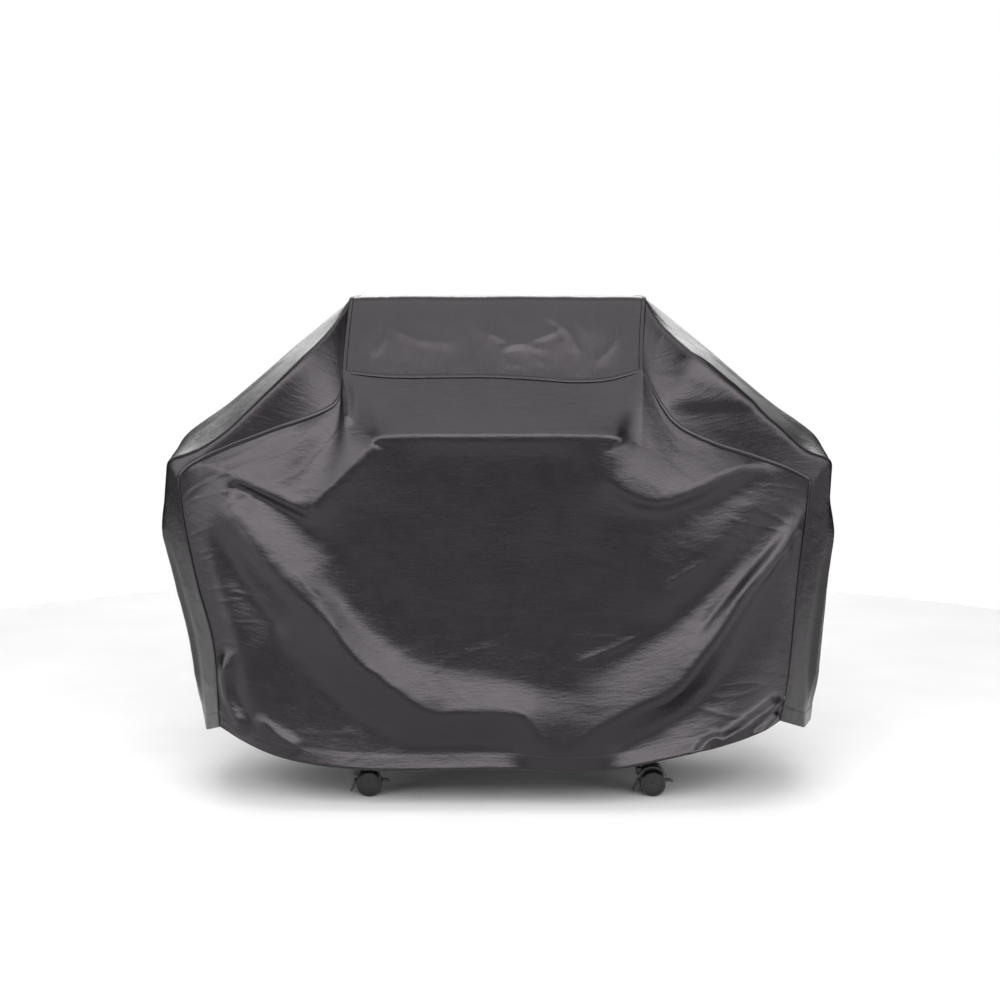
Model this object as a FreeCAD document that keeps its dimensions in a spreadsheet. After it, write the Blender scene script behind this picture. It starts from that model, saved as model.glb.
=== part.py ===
"""Fitted grill cover on the wheeled gas grill that gives it its shape.

The cover is five sewn panels: front, back, a top panel over the hood, and a side panel each way that runs
down the shoulder, over the side shelf and down to the hem.  Under it is an open-cart gas grill on four
twin-wheel swivel casters, the front two with a rocker brake.

Frame: millimetres, +Z up, +X to the right of someone facing the grill, -Y towards that person.  The origin
is on the floor under the middle of the cover.
"""
import FreeCAD, Part
import os

import Sketcher

doc = FreeCAD.newDocument("grill_cover")
sheet = doc.addObject("Spreadsheet::Sheet", "dims")
V = FreeCAD.Vector

# ---------------------------------------------------------------- driving dimensions
DIMENSIONS = {
    # cover: outside of the draped cloth
    "cloth": 2.0,               # wall of the solids that stand for the cloth
    "cover_half_width": 795.0,
    "cover_half_depth": 322.0,
    "cover_top": 1167.0,
    "hem_height": 108.0,        # at the front's middle; the hem climbs towards the sides
    "hem_side_height": 165.0,
    "hem_rise_start": 380.0,
    "hem_half_width": 755.0,
    "bulge_height": 690.0,      # where the sides stand out furthest
    "shoulder_half_width": 722.0,
    "shoulder_height": 862.0,
    "top_half_width": 320.0,
    "ledge_height": 857.0,      # the cloth turns down over the hood's handle here
    "seam_half_depth": 213.0,   # the long seams lie this far in front of and behind the middle
    "seam_height": 1000.0,
    "top_front": 103.0,         # front edge of the flat top, in front of the middle
    "top_back": 168.0,
    "top_panel_half_width": 345.0,
    "shoulder_in": 18.0,        # from the bulge to the foot of the shoulder
    "shoulder_rise": 108.0,
    "top_edge_in": 16.0,        # the small slope at each end of the flat top
    "top_edge_drop": 12.0,
    "back_seam_out": 30.0,
    "back_turn_drop": 60.0,     # the back turns down this far below the ledge's height
    "front_half_width": 300.0,  # the flat of the front and of the back, seen from above
    "side_half_depth": 168.0,   # the flat of each side, seen from above
    "corner_in": 78.0,
    "corner_back": 72.0,
    # cart
    "leg_side": 30.0,
    "leg_wall": 2.0,
    "leg_x": 334.0,
    "leg_y": 180.0,
    "leg_foot": 84.0,
    "leg_top": 700.0,
    "rail_size": 25.0,
    "lower_rail_height": 125.0,
    "plug_height": 30.0,
    "plug_bore_depth": 26.0,
    "stem_foot": 53.0,
    "collar_foot": 71.0,
    "collar_height": 4.0,
    "deck_inset": 18.0,
    "deck_overhang": 12.0,
    "deck_height": 20.0,
    "tray_sheet": 3.0,
    "bolt_radius": 6.0,
    "bolt_head": 4.0,
    # grill
    "box_half_width": 296.0,
    "box_front": 175.0,
    "box_back": 195.0,
    "box_wall": 3.0,
    "box_top": 834.0,
    "grease_half_width": 160.0,
    "grease_half_depth": 120.0,
    "grease_depth": 36.0,
    "grease_sheet": 2.0,
    "burner_radius": 12.0,
    "burner_bore": 10.5,
    "burner_length": 300.0,
    "burner_rise": 45.0,
    "baffle_rise": 72.0,
    "grate_low": 22.0,          # below the top of the box
    "grate_high": 12.0,
    "bar_half_width": 4.0,
    "bar_pitch": 25.0,
    "lid_half_width": 302.0,
    "lid_bottom": 836.0,
    "lid_top": 1163.0,
    "lid_sheet": 2.0,
    "lid_front": 205.0,
    "lid_back_gap": 10.0,
    "lid_slope_foot": 190.0,
    "lid_crown_front": 98.0,
    "lid_crown_back": 150.0,
    "post_radius": 7.0,
    "post_inset": 35.0,
    "gauge_height": 915.0,
    "hinge_x": 200.0,
    "hinge_half_width": 20.0,
    "hinge_plate": 4.0,
    "hinge_reach": 30.0,
    "hinge_pin_out": 20.0,
    "hinge_pin_drop": 30.0,
    "hinge_pin_radius": 4.0,
    "handle_radius": 11.0,
    "handle_half_length": 235.0,
    "handle_y": -298.0,
    "handle_z": 852.0,
    "panel_sheet": 2.0,
    "panel_front": 262.0,
    "panel_bottom": 715.0,
    "panel_top": 825.0,
    "knob_radius": 22.0,
    "knob_depth": 24.0,
    "knob_z": 770.0,
    "knob_pitch": 140.0,
    "valve_half_side": 11.0,
    "valve_gap": 12.0,          # from the panel's face back to the valve
    "valve_back": 40.0,
    "valve_stem_radius": 4.0,
    "valve_stem_reach": 20.0,
    "manifold_radius": 9.0,
    "manifold_half_length": 270.0,
    "manifold_back": 49.0,
    "knob_bore_depth": 19.5,
    "running_gap": 0.05,        # radial clearance of a part that turns on a pin
    "shelf_half_span": 742.0,
    "shelf_thickness": 25.0,
    "shelf_top": 812.0,
    "shelf_front": 232.0,
    "shelf_back": 215.0,
    "shelf_corner": 60.0,
    "shelf_gap": 16.0,
    "shelf_rim": 25.0,
    "shelf_skin": 4.0,
    "arm_y": 120.0,
    "arm_half_width": 10.0,
    "arm_height": 20.0,
    "arm_inset": 60.0,
    # casters
    "wheel_radius": 30.0,
    "wheel_width": 15.0,
    "wheel_inner": 8.5,         # from the middle of the caster to a wheel's inner face
    "axle_radius": 4.0,
    "trail": 26.0,              # from the swivel axis to the axle
    "stem_radius": 5.0,
    "housing_radius": 14.0,
    "housing_bottom": 50.0,
    "housing_top": 66.0,
    "hood_radius": 36.0,
    "hood_sheet": 3.0,
}
for row, (alias, number) in enumerate(DIMENSIONS.items(), start=1):
    sheet.set(f"A{row}", alias)
    sheet.set(f"B{row}", str(number))
    sheet.setAlias(f"B{row}", alias)
doc.recompute()

SUBPARTS = []      # every object that becomes a file in parts/


def expr(text):
    """An expression with bare aliases, written as FreeCAD wants it."""
    words = "".join(c if c.isalnum() or c == "_" else " " for c in text).split()
    for word in sorted(set(words), key=len, reverse=True):
        if word in DIMENSIONS:
            text = replace_word(text, word, f"dims.{word}")
    return text


def replace_word(text, word, new):
    out, i = "", 0
    while i < len(text):
        end = i + len(word)
        before = text[i - 1] if i else " "
        after = text[end] if end < len(text) else " "
        whole = not (before.isalnum() or before in "_.") and not (after.isalnum() or after == "_")
        if text[i:end] == word and whole:
            out += new
            i = end
        else:
            out += text[i]
            i += 1
    return out


def value(text):
    """What an expression comes to, in millimetres."""
    result = sheet.evalExpression(expr(str(text)))
    return float(getattr(result, "Value", result))


def bind(obj, **settings):
    """Binds properties to expressions; x, y and z are the placement's."""
    for name, text in settings.items():
        target = f"Placement.Base.{name}" if name in ("x", "y", "z") else name
        obj.setExpression(target, expr(str(text)))
    return obj


def keep(obj, label):
    """obj is the sub-part that is written to parts/label.step."""
    obj.Label = label
    SUBPARTS.append(obj)
    return obj


def box(name, x, y, z):
    """A Part::Box between pairs of expressions."""
    made = doc.addObject("Part::Box", name)
    bind(made, Length=f"({x[1]}) - ({x[0]})", Width=f"({y[1]}) - ({y[0]})", Height=f"({z[1]}) - ({z[0]})")
    return bind(made, x=x[0], y=y[0], z=z[0])


TURNS = {
    "x": FreeCAD.Rotation(V(0, 1, 0), 90),
    "y": FreeCAD.Rotation(V(1, 0, 0), -90),
    "z": FreeCAD.Rotation(),
}


def rod(name, along, radius, start, length, angle=360):
    """A Part::Cylinder from start, along an axis."""
    made = doc.addObject("Part::Cylinder", name)
    made.Placement = FreeCAD.Placement(V(), TURNS[along])
    made.Angle = angle
    bind(made, Radius=radius, Height=length)
    return bind(made, x=start[0], y=start[1], z=start[2])


def fuse(name, shapes):
    made = doc.addObject("Part::MultiFuse", name)
    made.Shapes = shapes
    made.Refine = True
    return made


def cut(name, base, tool):
    made = doc.addObject("Part::Cut", name)
    made.Base, made.Tool = base, tool
    return made


def common(name, base, tool):
    made = doc.addObject("Part::Common", name)
    made.Base, made.Tool = base, tool
    return made


def group(name, shapes):
    """Several separate solids in one sub-part."""
    made = doc.addObject("Part::Compound", name)
    made.Links = shapes
    return made


def plane_of(body, role):
    return next(f for f in body.Origin.OriginFeatures if f.Role == role)


def outline(body, role, points):
    """A closed sketch whose corners are bound to pairs of expressions."""
    sketch = body.newObject("Sketcher::SketchObject", body.Name + "_outline")
    sketch.AttachmentSupport = (plane_of(body, role), [""])
    sketch.MapMode = "FlatFace"
    corners = [V(value(u), value(v), 0) for u, v in points]
    for i, corner in enumerate(corners):
        sketch.addGeometry(Part.LineSegment(corner, corners[(i + 1) % len(corners)]), False)
    for i, (u, v) in enumerate(points):
        after = (i + 1) % len(points)
        sketch.addConstraint(Sketcher.Constraint("Coincident", i, 2, after, 1))
        for kind, text, number in (("DistanceX", u, corners[i].x), ("DistanceY", v, corners[i].y)):
            index = sketch.addConstraint(Sketcher.Constraint(kind, -1, 1, i, 1, number))
            sketch.setExpression(f"Constraints[{index}]", expr(str(text)))
    return sketch


def pad(name, role, points, length, start=None):
    """A PartDesign body padded to both sides of an origin plane, or moved to start."""
    body = doc.addObject("PartDesign::Body", name)
    feature = body.newObject("PartDesign::Pad", name + "_pad")
    feature.Profile = outline(body, role, points)
    feature.Midplane = True
    bind(feature, Length=length)
    body.Tip = feature
    if start:
        bind(body, x=start[0], y=start[1], z=start[2])
    return body


def revolved(name, points, start, turn):
    """A PartDesign body revolved about its own Z axis; the outline is (radius, height)."""
    body = doc.addObject("PartDesign::Body", name)
    feature = body.newObject("PartDesign::Revolution", name + "_turn")
    sketch = outline(body, "XZ_Plane", points)
    feature.Profile = sketch
    feature.ReferenceAxis = (sketch, ["V_Axis"])
    feature.Angle = 360
    body.Tip = feature
    body.Placement = FreeCAD.Placement(V(), turn)
    return bind(body, x=start[0], y=start[1], z=start[2])


def edges_at(obj, test):
    """Names of the edges of obj whose middle passes the test."""
    doc.recompute()
    edges = obj.Shape.Edges
    return [f"Edge{i}" for i, e in enumerate(edges, start=1) if test(e, e.CenterOfMass)]


# ---------------------------------------------------------------- the cover
def make_cover():
    """The outer shape is where three prisms meet; a thin wall of it is cut into the sewn panels."""
    far = "4 * cover_half_width"
    front_view = [
        ("-hem_half_width", "hem_side_height"), ("-hem_rise_start", "hem_height"),
        ("hem_rise_start", "hem_height"), ("hem_half_width", "hem_side_height"),
        ("cover_half_width", "bulge_height"),
        ("cover_half_width - shoulder_in", "bulge_height + shoulder_rise"),
        ("shoulder_half_width", "shoulder_height"), ("top_half_width", "cover_top - top_edge_drop"),
        ("top_half_width - top_edge_in", "cover_top"), ("-top_half_width + top_edge_in", "cover_top"),
        ("-top_half_width", "cover_top - top_edge_drop"), ("-shoulder_half_width", "shoulder_height"),
        ("-cover_half_width + shoulder_in", "bulge_height + shoulder_rise"),
        ("-cover_half_width", "bulge_height"),
    ]
    side_view = [
        ("-cover_half_depth", "hem_height - 1"), ("cover_half_depth", "hem_height - 1"),
        ("cover_half_depth", "ledge_height - back_turn_drop"),
        ("seam_half_depth + back_seam_out", "seam_height"),
        ("top_back", "cover_top"), ("-top_front", "cover_top"),
        ("-seam_half_depth", "seam_height"), ("-cover_half_depth", "ledge_height"),
    ]
    side, deep = "cover_half_width - corner_in", "cover_half_depth - corner_back"
    plan_view = [
        ("-front_half_width", "-cover_half_depth"), ("front_half_width", "-cover_half_depth"),
        (side, f"-({deep})"), ("cover_half_width", "-side_half_depth"),
        ("cover_half_width", "side_half_depth"), (side, deep),
        ("front_half_width", "cover_half_depth"), ("-front_half_width", "cover_half_depth"),
        (f"-({side})", deep), ("-cover_half_width", "side_half_depth"),
        ("-cover_half_width", "-side_half_depth"), (f"-({side})", f"-({deep})"),
    ]
    prisms = [
        pad("cover_front_view", "XZ_Plane", front_view, far),
        pad("cover_side_view", "YZ_Plane", side_view, far),
        pad("cover_plan_view", "XY_Plane", plan_view, far),
    ]
    outer = doc.addObject("Part::MultiCommon", "cover_outer")
    outer.Shapes = prisms
    doc.recompute()
    wall = doc.addObject("Part::Thickness", "cover_wall")
    open_below = [f"Face{i}" for i, face in enumerate(outer.Shape.Faces, start=1)
                  if face.CenterOfMass.z < value("hem_side_height")]
    wall.Faces = (outer, open_below)
    wall.Join = 2
    bind(wall, Value="-cloth")
    wide = ("-2 * cover_half_width", "2 * cover_half_width")
    tall = ("0", "2 * cover_top")
    front = box("front_region", wide, ("-2 * cover_half_depth", "-seam_half_depth"), tall)
    back = box("back_region", wide, ("seam_half_depth", "2 * cover_half_depth"), tall)
    between = ("-seam_half_depth", "seam_half_depth")
    top = box("top_region", ("-top_panel_half_width", "top_panel_half_width"), between, tall)
    left = box("left_region", ("-2 * cover_half_width", "-top_panel_half_width"), between, tall)
    right = box("right_region", ("top_panel_half_width", "2 * cover_half_width"), between, tall)
    for region, label in (
        (front, "cover_front_panel"), (back, "cover_back_panel"), (top, "cover_top_panel"),
        (left, "cover_left_side_panel"), (right, "cover_right_side_panel"),
    ):
        keep(common(label, wall, region), label)


# ---------------------------------------------------------------- the cart
def make_cart():
    half = "leg_side / 2"
    corners = {
        "front_left": ("-leg_x", "-leg_y"), "front_right": ("leg_x", "-leg_y"),
        "rear_left": ("-leg_x", "leg_y"), "rear_right": ("leg_x", "leg_y"),
    }
    plugs, stems = [], []
    for name, (x, y) in corners.items():
        inner = "(leg_side / 2 - leg_wall)"
        tube = box(f"tube_{name}", (f"{x} - {half}", f"{x} + {half}"), (f"{y} - {half}", f"{y} + {half}"),
                   ("leg_foot", "leg_top"))
        core = box(f"tube_core_{name}", (f"{x} - {inner}", f"{x} + {inner}"),
                   (f"{y} - {inner}", f"{y} + {inner}"), ("leg_foot - 1", "leg_top + 1"))
        keep(cut(f"leg_{name}", tube, core), f"cart_leg_{name}")
        plug = box(f"plug_{name}", (f"{x} - {inner}", f"{x} + {inner}"),
                   (f"{y} - {inner}", f"{y} + {inner}"), ("leg_foot", "leg_foot + plug_height"))
        bore = rod(f"plug_bore_{name}", "z", "stem_radius", (x, y, "leg_foot - 1"), "plug_bore_depth + 1")
        plugs.append(cut(f"leg_plug_{name}", plug, bore))
        shank = rod(f"shank_{name}", "z", "stem_radius", (x, y, "stem_foot"),
                    "leg_foot + plug_bore_depth - stem_foot")
        collar = rod(f"collar_{name}", "z", "stem_radius * 2", (x, y, "collar_foot"), "collar_height")
        stems.append(fuse(f"caster_stem_{name}", [shank, collar]))
    keep(group("leg_plugs", plugs), "cart_leg_plugs")
    keep(group("caster_stems", stems), "caster_stems")

    for level, foot in (("lower", "lower_rail_height"), ("upper", "leg_top - rail_size")):
        head = f"{foot} + rail_size"
        rails = []
        for side, sign in (("front", "-"), ("rear", "")):
            middle = f"{sign}leg_y"
            rails.append(box(f"{level}_rail_{side}", (f"-leg_x + {half}", f"leg_x - {half}"),
                             (f"{middle} - rail_size / 2", f"{middle} + rail_size / 2"), (foot, head)))
        for side, sign in (("left", "-"), ("right", "")):
            middle = f"{sign}leg_x"
            rails.append(box(f"{level}_rail_{side}", (f"{middle} - rail_size / 2", f"{middle} + rail_size / 2"),
                             (f"-leg_y + {half}", f"leg_y - {half}"), (foot, head)))
        keep(group(f"{level}_rails", rails), f"cart_{level}_rails")

    deck_foot = "lower_rail_height + rail_size"
    deck = box("deck_slab", ("-leg_x + deck_inset", "leg_x - deck_inset"),
               ("-leg_y - deck_overhang", "leg_y + deck_overhang"), (deck_foot, f"{deck_foot} + deck_height"))
    well = box("deck_well", ("-leg_x + deck_inset + tray_sheet", "leg_x - deck_inset - tray_sheet"),
               ("-leg_y - deck_overhang + tray_sheet", "leg_y + deck_overhang - tray_sheet"),
               (f"{deck_foot} + tray_sheet", f"{deck_foot} + deck_height + 1"))
    keep(cut("bottom_shelf", deck, well), "cart_bottom_shelf")

    bolts = []
    for x in ("-leg_x", "leg_x"):
        for z in ("lower_rail_height + rail_size / 2", "leg_top - rail_size / 2"):
            for side, y in (("front", f"-leg_y - {half} - bolt_head"), ("rear", f"leg_y + {half}")):
                bolts.append(rod(f"bolt_{side}", "y", "bolt_radius", (x, y, z), "bolt_head"))
    keep(group("rail_bolts", bolts), "cart_rail_bolts")


# ---------------------------------------------------------------- the grill on the cart
def make_firebox():
    tub = box("tub_block", ("-box_half_width", "box_half_width"), ("-box_front", "box_back"),
              ("leg_top", "box_top"))
    well = box("tub_well", ("-box_half_width + box_wall", "box_half_width - box_wall"),
               ("-box_front + box_wall", "box_back - box_wall"), ("leg_top + box_wall", "box_top + 1"))
    keep(cut("firebox_tub", tub, well), "firebox")

    tray = box("grease_block", ("-grease_half_width", "grease_half_width"),
               ("-grease_half_depth", "grease_half_depth"),
               ("leg_top - grease_depth", "leg_top"))
    tray_well = box("grease_well", ("-grease_half_width + grease_sheet", "grease_half_width - grease_sheet"),
                    ("-grease_half_depth + grease_sheet", "grease_half_depth - grease_sheet"),
                    ("leg_top - grease_depth + grease_sheet", "leg_top + 1"))
    keep(cut("grease_pan", tray, tray_well), "grease_tray")

    burners = []
    baffles = []
    for i in range(4):
        x = f"({i} - 1.5) * knob_pitch"
        z = "leg_top + burner_rise"
        pipe = rod(f"burner_pipe_{i}", "y", "burner_radius", (x, "-box_front + box_wall", z), "burner_length")
        bore = rod(f"burner_bore_{i}", "y", "burner_bore", (x, "-box_front + box_wall - 1", z),
                   "burner_length - 1")
        burners.append(cut(f"burner_{i}", pipe, bore))
        roof = [
            ("-38", "0"), ("0", "22"), ("38", "0"), ("38", "-2.5"), ("0", "19.5"), ("-38", "-2.5"),
        ]
        baffles.append(pad(f"baffle_{i}", "XZ_Plane", roof, "box_front + box_back - 2 * box_wall",
                           (x, "(box_back - box_front) / 2", "leg_top + baffle_rise")))
    keep(group("burners", burners), "burner_tubes")
    keep(group("baffles", baffles), "flame_baffles")

    for side, sign in (("left", "-1"), ("right", "1")):
        start, end = ("box_half_width - box_wall - 1", "2")
        bars = []
        low, high = "box_top - grate_low", "box_top - grate_high"
        for i in range(12):
            x = f"{sign} * (3 * bar_half_width + {i} * bar_pitch)"
            bars.append(box(f"bar_{side}_{i}", (f"{x} - bar_half_width", f"{x} + bar_half_width"),
                            ("-box_front + box_wall + 1", "box_back - box_wall - 1"), (low, high)))
        edges = (f"-({start})", f"-({end})") if sign == "-1" else (end, start)
        for j, y in enumerate(("-box_front + 40", "10", "box_back - 40")):
            bars.append(box(f"tie_{side}_{j}", edges,
                            (f"{y} - bar_half_width", f"{y} + bar_half_width"), (low, high)))
        keep(fuse(f"grate_{side}", bars), f"cooking_grate_{side}")


def make_lid():
    rear = "box_back + lid_back_gap"
    profile = [
        ("-lid_front", "lid_bottom"), (rear, "lid_bottom"), (rear, "seam_height"),
        ("lid_crown_back", "lid_top"), ("-lid_crown_front", "lid_top"), ("-lid_slope_foot", "seam_height"),
        ("-lid_front", "seam_height - 50"),
    ]
    inner = [
        ("-lid_front + lid_sheet", "lid_bottom - 5"), (f"{rear} - lid_sheet", "lid_bottom - 5"),
        (f"{rear} - lid_sheet", "seam_height"), ("lid_crown_back - 0.8 * lid_sheet", "lid_top - lid_sheet"),
        ("-lid_crown_front + 0.6 * lid_sheet", "lid_top - lid_sheet"),
        ("-lid_slope_foot + lid_sheet", "seam_height"), ("-lid_front + lid_sheet", "seam_height - 50"),
    ]
    shell = cut("lid_shell", pad("lid_outer", "YZ_Plane", profile, "2 * lid_half_width"),
                pad("lid_inner", "YZ_Plane", inner, "2 * (lid_half_width - lid_sheet)"))
    keep(shell, "grill_lid")

    keep(rod("handle_bar", "x", "handle_radius", ("-handle_half_length", "handle_y", "handle_z"),
             "2 * handle_half_length"), "lid_handle")
    posts = []
    for i, x in enumerate(("-handle_half_length + post_inset", "handle_half_length - post_inset")):
        post = rod(f"post_{i}", "y", "post_radius", (x, "handle_y + 2", "handle_z"),
                   "-lid_front - handle_y - 2")
        posts.append(cut(f"handle_post_{i}", post, doc.getObject("handle_bar")))
    keep(group("handle_posts", posts), "lid_handle_posts")

    case = [("0", "0"), ("26", "0"), ("26", "10"), ("23", "13"), ("21", "11"), ("0", "11")]
    keep(revolved("gauge", case, ("0", "-lid_front", "gauge_height"), FreeCAD.Rotation(V(1, 0, 0), 90)),
         "temperature_gauge")

    brackets, pins = [], []
    for i, x in enumerate(("-hinge_x", "hinge_x")):
        plate = box(f"hinge_plate_{i}", (f"{x} - hinge_half_width", f"{x} + hinge_half_width"),
                    ("box_back", "box_back + hinge_plate"),
                    ("box_top - 70", "box_top - 20"))
        ear = box(f"hinge_ear_{i}", (f"{x} - hinge_half_width", f"{x} + hinge_half_width"),
                  ("box_back + hinge_plate", "box_back + hinge_reach"),
                  ("box_top - 40", "box_top - 20"))
        axis_y, axis_z = "box_back + hinge_pin_out", "box_top - hinge_pin_drop"
        hole = rod(f"hinge_hole_{i}", "x", "hinge_pin_radius", (f"{x} - hinge_half_width - 1", axis_y, axis_z),
                   "2 * hinge_half_width + 2")
        brackets.append(cut(f"hinge_bracket_{i}", fuse(f"hinge_block_{i}", [plate, ear]), hole))
        pins.append(rod(f"hinge_pin_{i}", "x", "hinge_pin_radius",
                        (f"{x} - hinge_half_width - 6", axis_y, axis_z), "2 * hinge_half_width + 12"))
    keep(group("hinge_brackets", brackets), "lid_hinge_brackets")
    keep(group("hinge_pins", pins), "lid_hinge_pins")


def make_controls():
    channel = [
        ("-panel_front", "panel_bottom"), ("-box_front - 1", "panel_bottom"),
        ("-box_front - 1", "panel_bottom + panel_sheet"),
        ("-panel_front + panel_sheet", "panel_bottom + panel_sheet"),
        ("-panel_front + panel_sheet", "panel_top - panel_sheet"),
        ("-box_front - 1", "panel_top - panel_sheet"), ("-box_front - 1", "panel_top"),
        ("-panel_front", "panel_top"),
    ]
    folded = pad("panel_channel", "YZ_Plane", channel, "2 * lid_half_width")
    holes, valves = [], []
    for i in range(4):
        x = f"({i} - 1.5) * knob_pitch"
        holes.append(rod(f"panel_hole_{i}", "y", "7", (x, "-panel_front - 1", "knob_z"), "5"))
        body = box(f"valve_body_{i}", (f"{x} - valve_half_side", f"{x} + valve_half_side"),
                   ("-panel_front + valve_gap", "-panel_front + valve_back"),
                   ("knob_z - valve_half_side - 1", "knob_z + valve_half_side + 1"))
        stem = rod(f"valve_stem_{i}", "y", "valve_stem_radius",
                   (x, "-panel_front - valve_stem_reach", "knob_z"), "valve_stem_reach + valve_gap + 2")
        valves.append(fuse(f"valve_{i}", [body, stem]))
    keep(cut("control_fascia", folded, group("panel_holes", holes)), "control_panel")
    keep(group("valves", valves), "gas_valves")
    pipe = rod("manifold_pipe", "x", "manifold_radius",
               ("-manifold_half_length", "-panel_front + manifold_back", "knob_z"), "2 * manifold_half_length")
    keep(pipe, "gas_manifold")

    skirt, bore = "knob_radius", "valve_stem_radius + running_gap"
    grip = [
        (bore, "0"), (skirt, "0"), (skirt, "3"), ("knob_radius - 4", "5"),
        ("knob_radius - 6", "knob_depth - 2"),
        ("knob_radius - 8", "knob_depth"), ("0", "knob_depth"), ("0", "knob_bore_depth"),
        (bore, "knob_bore_depth"),
    ]
    for i in range(4):
        x = f"({i} - 1.5) * knob_pitch"
        dial = revolved(f"knob_dial_{i + 1}", grip, (x, "-panel_front - 1", "knob_z"),
                        FreeCAD.Rotation(V(1, 0, 0), 90))
        ridge = box(f"knob_ridge_{i + 1}", (f"{x} - 4", f"{x} + 4"),
                    ("-panel_front - 1 - knob_depth - 8", "-panel_front - 1 - knob_depth + 1"),
                    ("knob_z - knob_radius + 8", "knob_z + knob_radius - 1"))
        keep(fuse(f"knob_{i + 1}", [dial, ridge]), f"burner_knob_{i + 1}")


def make_side_shelves():
    for side, sign in (("left", "-1"), ("right", "1")):
        mid_x = f"{sign} * (shelf_half_span + leg_x + shelf_gap) / 2"
        half_x = "(shelf_half_span - leg_x - shelf_gap) / 2"
        plan = [
            (f"-({half_x})", "-shelf_front"), (half_x, "-shelf_front"),
            (half_x, "shelf_back"), (f"-({half_x})", "shelf_back"),
        ]
        slab = pad(f"shelf_slab_{side}", "XY_Plane", plan, "shelf_thickness",
                   (mid_x, "0", "shelf_top - shelf_thickness / 2"))
        outward = 1 if side == "right" else -1
        names = edges_at(slab, lambda e, c: abs(e.tangentAt(e.FirstParameter).z) > 0.9
                         and outward * c.x > value("shelf_half_span") - 1)
        padded = slab.Tip
        rounding = slab.newObject("PartDesign::Fillet", f"shelf_round_{side}")
        rounding.Base = (padded, names)
        bind(rounding, Radius="shelf_corner")
        slab.Tip = rounding
        inside = (f"{mid_x} - {half_x} + shelf_rim", f"{mid_x} + {half_x} - shelf_rim")
        hollow = box(f"shelf_hollow_{side}", inside, ("-shelf_front + shelf_rim", "shelf_back - shelf_rim"),
                     ("shelf_top - shelf_thickness - 1", "shelf_top - shelf_skin"))
        keep(cut(f"shelf_{side}", slab, hollow), f"side_shelf_{side}")
        arms = []
        low = "shelf_top - shelf_thickness - arm_height"
        ends = ("box_half_width", "shelf_half_span - arm_inset")
        span = ends if side == "right" else (f"-({ends[1]})", f"-({ends[0]})")
        for j, y in enumerate(("-arm_y", "arm_y")):
            arms.append(box(f"arm_{side}_{j}", span,
                            (f"{y} - arm_half_width", f"{y} + arm_half_width"), (low, f"{low} + arm_height")))
        keep(group(f"arms_{side}", arms), f"shelf_brackets_{side}")


# ---------------------------------------------------------------- casters
def make_caster(name, x, y, braked):
    """Twin wheels on one axle under a swivelling hood; the axle trails the stem in +X."""
    axle_x = f"{x} + trail"
    axle_z = "wheel_radius"
    outer_face = "(wheel_inner + wheel_width)"
    housing = rod(f"housing_{name}", "z", "housing_radius", (x, y, "housing_bottom"),
                  "housing_top - housing_bottom")
    arc_x, arc_z = f"{axle_x} - 2", "wheel_radius + 7"
    skin = []
    for part, radius in (("out", "hood_radius"), ("in", "hood_radius - hood_sheet")):
        arc = rod(f"hood_{part}_{name}", "y", radius, (arc_x, f"{y} - {outer_face}", arc_z),
                  f"2 * {outer_face}", 140)
        arc.Placement.Rotation = FreeCAD.Rotation(V(0, 1, 0), -160).multiply(TURNS["y"])
        bind(arc, x=arc_x, y=f"{y} - {outer_face}", z=arc_z)
        skin.append(arc)
    band = cut(f"hood_band_{name}", *skin)
    disc = rod(f"web_disc_{name}", "y", "hood_radius - hood_sheet / 2", (arc_x, f"{y} - 7", arc_z), "14")
    window = box(f"web_window_{name}", (f"{x} - 3", f"{axle_x} + 26"), (f"{y} - 8", f"{y} + 8"),
                 ("20", "80"))
    slot = box(f"web_slot_{name}", (f"{x} - 60", f"{x} + 90"), (f"{y} - 4", f"{y} + 4"),
               ("0", "housing_bottom"))
    web = cut(f"web_{name}", common(f"web_blank_{name}", disc, window), slot)
    solid = fuse(f"hood_solid_{name}", [housing, band, web])
    rooms = [
        rod(f"stem_room_{name}", "z", "stem_radius + running_gap", (x, y, "housing_bottom + 2"), "30"),
        rod(f"axle_room_{name}", "y", "axle_radius", (axle_x, f"{y} - 30", axle_z), "60"),
    ]
    for side, start in (("near", f"{y} - {outer_face} - 1"), ("far", f"{y} + wheel_inner - 1")):
        rooms.append(rod(f"wheel_room_{side}_{name}", "y", "wheel_radius + 1.5",
                         (axle_x, start, axle_z), "wheel_width + 2"))
    keep(cut(f"hood_{name}", solid, fuse(f"hood_rooms_{name}", rooms)), f"caster_{name}_hood")
    keep(rod(f"axle_{name}", "y", "axle_radius", (axle_x, f"{y} - {outer_face} - 0.5", axle_z),
             f"2 * {outer_face} + 1"), f"caster_{name}_axle")

    bore = "axle_radius + running_gap"
    tread = [
        (bore, "0"), ("wheel_radius - 2", "0"), ("wheel_radius", "2"), ("wheel_radius", "wheel_width - 3"),
        ("wheel_radius - 3", "wheel_width"), ("wheel_radius - 6", "wheel_width"),
        ("wheel_radius - 7", "wheel_width - 1.5"), (bore, "wheel_width - 1.5"),
    ]
    for label, start, angle in (
        ("wheel_outer", f"{y} - wheel_inner", 90), ("wheel_inner", f"{y} + wheel_inner", -90),
    ):
        wheel = revolved(f"{label}_{name}", tread, (axle_x, start, axle_z),
                         FreeCAD.Rotation(V(1, 0, 0), angle))
        keep(wheel, f"caster_{name}_{label}")
    if braked:
        make_brake(name, x, y, axle_x)


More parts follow.
